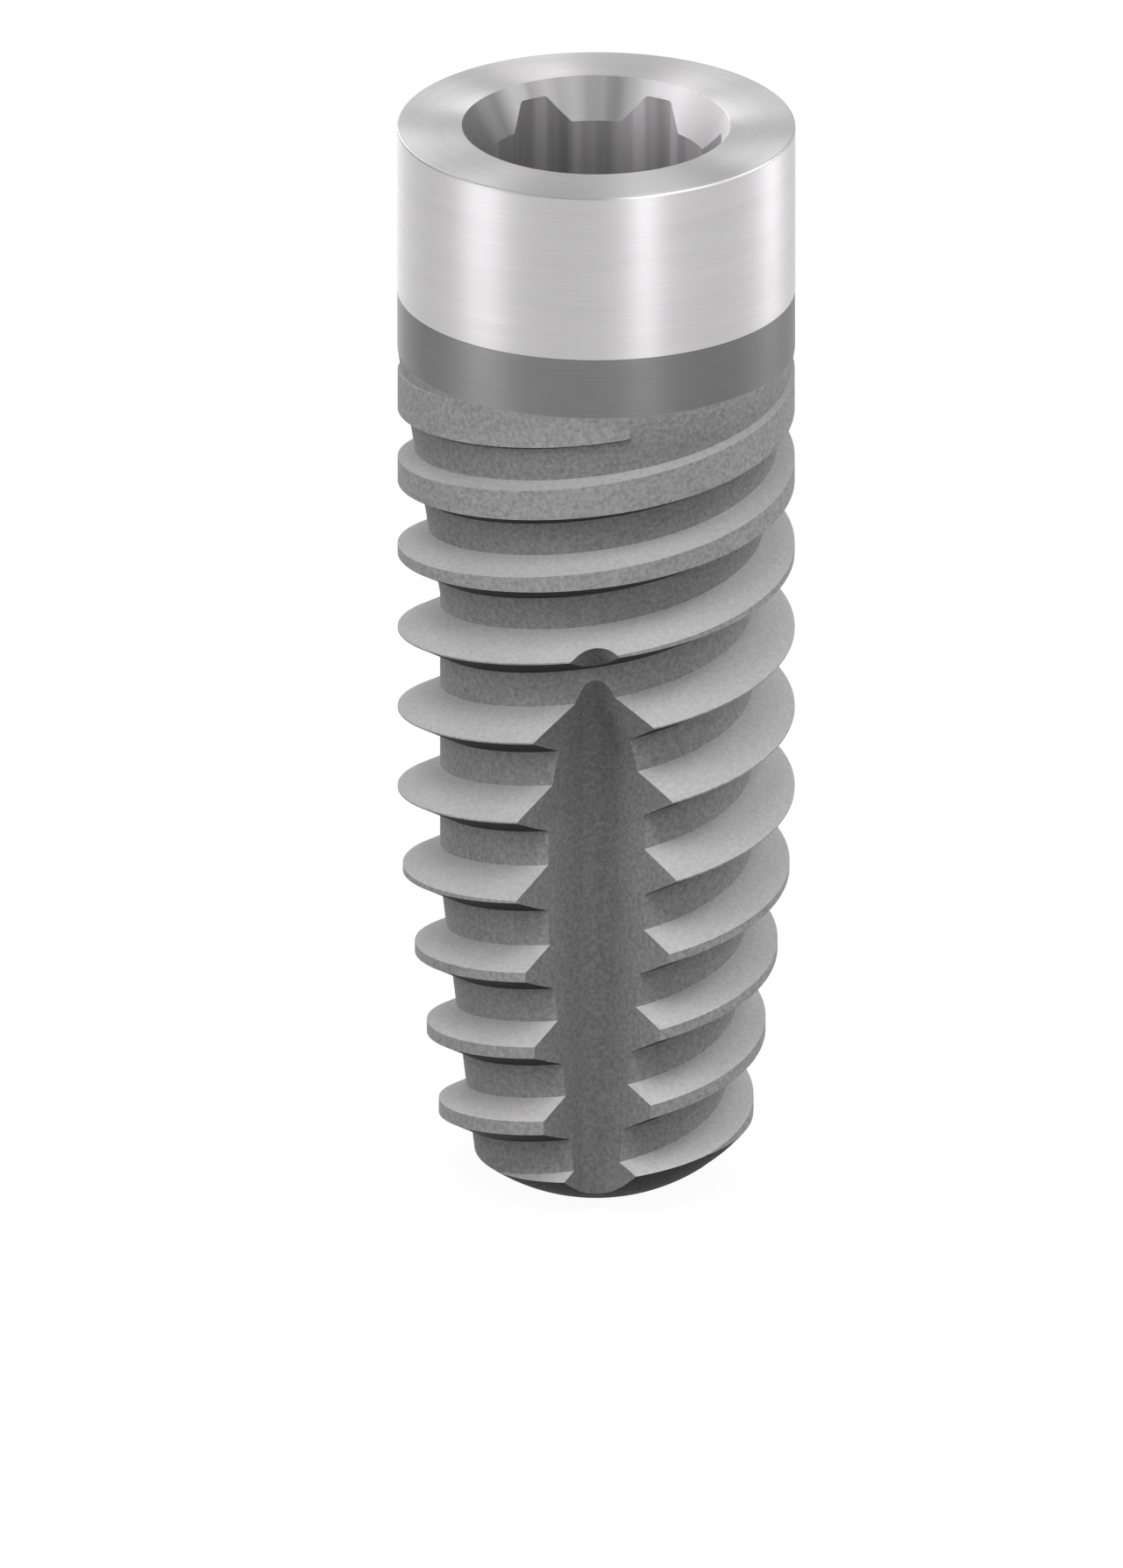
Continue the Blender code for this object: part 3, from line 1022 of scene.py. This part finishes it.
def off_flute(place):
    """How far a place lies off the surface of the flute on its side."""
    above = place.z - height(FLUTE_RUNOUT_DEPTH)
    outward = abs(place.y) - FLUTE_FLOOR_RADIUS
    if above > 0.0:
        outward = FLUTE_RUNOUT_RADIUS - math.hypot(FLUTE_RUNOUT_RADIUS - outward, above)
    across = abs(place.x)
    slant, lean = math.sin(FLUTE_HALF_ANGLE), math.cos(FLUTE_HALF_ANGLE)
    tangent_across = FLUTE_NOSE_RADIUS * lean
    tangent_outward = FLUTE_NOSE_RADIUS * (1.0 - slant)
    if (across - tangent_across) * slant + (outward - tangent_outward) * lean > 0.0:
        return abs((across - tangent_across) * lean - (outward - tangent_outward) * slant)
    return abs(math.hypot(across, outward - FLUTE_NOSE_RADIUS) - FLUTE_NOSE_RADIUS)


def off_dome(place):
    """How far a place lies off the surface of the apex's dome."""
    return abs((place - Vector((0.0, 0.0, height(DOME_CENTRE_DEPTH)))).length - DOME_RADIUS)


def part_way(value, start, span):
    """How far a value has gone over a span from its start, from 0 to 1."""
    return min(max((value - start) / span, 0.0), 1.0)


def surface_tone(face, place):
    """How dark a corner of a face is painted, from 0 to 1: painted shade and painted light by
    where it lies and how it faces.
    """
    if off_flute(face.center) < FLUTE_FIT:
        # painted shade in the flute, its walls a little lighter, and painted light on one side of
        # it
        across = math.copysign(1.0, -place.y) * place.x / FLUTE_NOSE_RADIUS
        wall = part_way(abs(across), FLUTE_WALL_START, FLUTE_WALL_SPAN)
        painted_light = max(1.0 - abs(across - FLUTE_PAINTED_LIGHT_MIDDLE) / FLUTE_PAINTED_LIGHT_REACH, 0.0)
        return FLUTE_PAINTED_SHADE + (FLUTE_WALL_PAINTED_SHADE - FLUTE_PAINTED_SHADE) * wall - FLUTE_PAINTED_LIGHT * painted_light
    depth = PLATFORM_HEIGHT - place.z
    if off_dome(face.center) < DOME_FIT:
        # painted shade: the dome darkens as it turns downwards
        down = (depth - DOME_CENTRE_DEPTH) / DOME_RADIUS
        shade = part_way(down, DOME_SHADE_START, DOME_SHADE_SPAN)
        return ROOT_PAINTED_SHADE + (UNDERSIDE_PAINTED_SHADE - ROOT_PAINTED_SHADE) * shade
    # painted shade under the ridges
    if face.normal.z < -0.5:
        return UNDERSIDE_PAINTED_SHADE
    radius = math.hypot(place.x, place.y)
    climb = part_way(radius, ROOT_RADIUS, RIDGE_HEIGHT)
    # painted light at the flanks' feet, less towards the crest and near the band
    if face.normal.z > 0.5:
        etch = FLANK_FOOT_PAINTED_SHADE + (FLANK_CREST_PAINTED_SHADE - FLANK_FOOT_PAINTED_SHADE) * climb
        runout = max(root_radius(depth) - ROOT_RADIUS, 0.0) / RIDGE_HEIGHT
        return etch + FLANK_RUNOUT_PAINTED_SHADE * runout
    # crest lands, then roots in painted shade that lightens up the cone
    if radius * 2 > root_radius(depth) + crest_radius(depth):
        return LAND_PAINTED_SHADE
    cone = (4.0 * climb * (1.0 - climb)) ** CONE_BLEND
    return ROOT_PAINTED_SHADE + (LAND_PAINTED_SHADE - ROOT_PAINTED_SHADE) * climb**LAND_BLEND + CONE_PAINTED_SHADE * cone


def carved_mesh(finishes):
    """The whole implant as one closed mesh."""
    group = ridge_tree()
    blank = turned_core()
    tools = [
        (bone_thread(group, finishes[THREAD]), "UNION"),
        (apex_dome(), "INTERSECT"),
        *[(tapping_flute(i), "DIFFERENCE") for i in range(FLUTE_COUNT)],
        (drive_socket(), "DIFFERENCE"),
        (screw_bore(), "DIFFERENCE"),
        (screw_thread(group, finishes[SOCKET]), "DIFFERENCE"),
    ]
    for tool, operation in tools:
        combine(blank, tool, operation)
    mesh = plain_mesh(blank)
    for obj in (blank, *[tool for tool, _ in tools]):
        bpy.data.objects.remove(obj, do_unlink=True)
    shape = bmesh.new()
    shape.from_mesh(mesh)
    bmesh.ops.remove_doubles(shape, verts=shape.verts, dist=SAME_PLACE)
    shape.to_mesh(mesh)
    shape.free()
    return mesh


def dress(mesh, finishes):
    """Give each face its finish, and its corners their painted shade and painted light."""
    mesh.materials.clear()
    for finish in finishes:
        mesh.materials.append(finish)
    for face in mesh.polygons:
        face.material_index = finish_of(face)
    etch = mesh.attributes.new("etch", "FLOAT", "CORNER")
    grain = mesh.attributes.new("grain", "FLOAT", "FACE")
    for face in mesh.polygons:
        grain.data[face.index].value = FLANK_GRAIN if face.normal.z > 0.7 else 1.0
        for corner in face.loop_indices:
            place = mesh.vertices[mesh.loops[corner].vertex_index].co
            etch.data[corner].value = surface_tone(face, place)
    mesh.shade_smooth()
    mesh.set_sharp_from_angle(angle=SHARP_ANGLE)


def make_implant():
    """The implant in its finishes, in place of the plain body."""
    finishes = [finish() for finish in FINISHES]
    mesh = carved_mesh(finishes)
    dress(mesh, finishes)
    implant = add_object("implant", mesh)
    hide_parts("implant_body")
    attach(implant, "root")


bpy.context.scene.view_settings.view_transform = "Standard"
make_camera()
make_world()
make_floor()
for softbox in SOFTBOXES:
    add_softbox(*softbox)
make_implant()
